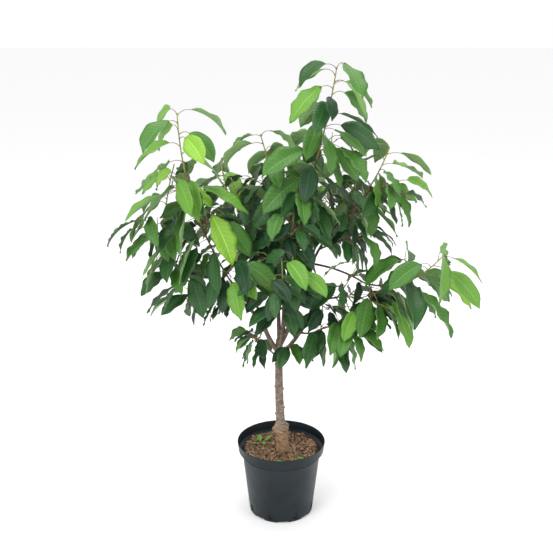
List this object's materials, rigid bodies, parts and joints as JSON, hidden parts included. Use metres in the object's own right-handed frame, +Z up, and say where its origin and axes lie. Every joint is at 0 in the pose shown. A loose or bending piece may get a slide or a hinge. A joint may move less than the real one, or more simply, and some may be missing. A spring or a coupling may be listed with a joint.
{
  "type": "potted young cherry tree",
  "caption": "Young grafted sweet cherry tree in full leaf, standing in a round black nursery pot filled with bark mix.",
  "frame": {"origin": "middle of the pot's flat underside, on the surface that it stands on", "axes": "+Z up the tree, +X to the right and +Y away from the viewer of the picture"},
  "size_m": [1.0623, 0.6953, 1.4361],
  "materials": {
    "pot_plastic": "dark blue-black moulded nursery plastic, faintly glossy and a little dusty",
    "bark_mix": "chipped bark and dark soil",
    "bark": "rough grey-brown bark, browner on the thinner boughs",
    "leaf_green": "satin green leaves, yellow-green at the shoot tips and dark inside the crown"
  },
  "bodies": {
    "root": {"pot": "pot_plastic", "potting_mix": "bark_mix", "trunk": "bark", "bough_left": "bark", "bough_left_outer": "bark", "bough_left_end": "bark", "bough_left_low": "bark", "bough_left_inner": "bark", "bough_centre": "bark", "bough_leader": "bark", "bough_heart": "bark", "bough_top": "bark", "bough_right": "bark", "bough_right_upper": "bark", "bough_right_inner": "bark", "bough_right_small": "bark", "bough_right_long": "bark", "bough_low_right": "bark", "bough_low_shoot": "bark", "bough_front": "bark", "bough_back": "bark", "bough_back_top": "bark", "bough_back_left": "bark", "bough_back_right": "bark", "bough_spur_left": "bark", "bough_spur_right": "bark", "foliage_top": "leaf_green", "foliage_left_long": "leaf_green", "foliage_right_end": "leaf_green", "foliage_right_upper": "leaf_green", "foliage_centre": "leaf_green", "foliage_left_end": "leaf_green", "foliage_low_shoot": "leaf_green", "foliage_low_right": "leaf_green", "foliage_left_low": "leaf_green", "foliage_right_small": "leaf_green", "foliage_right_inner": "leaf_green", "foliage_left_inner": "leaf_green", "foliage_heart": "leaf_green", "foliage_front": "leaf_green", "foliage_back_top": "leaf_green", "foliage_back_left": "leaf_green", "foliage_back_right": "leaf_green", "foliage_tuft_left": "leaf_green", "foliage_tuft_right": "leaf_green"}
  },
  "joints": []
}
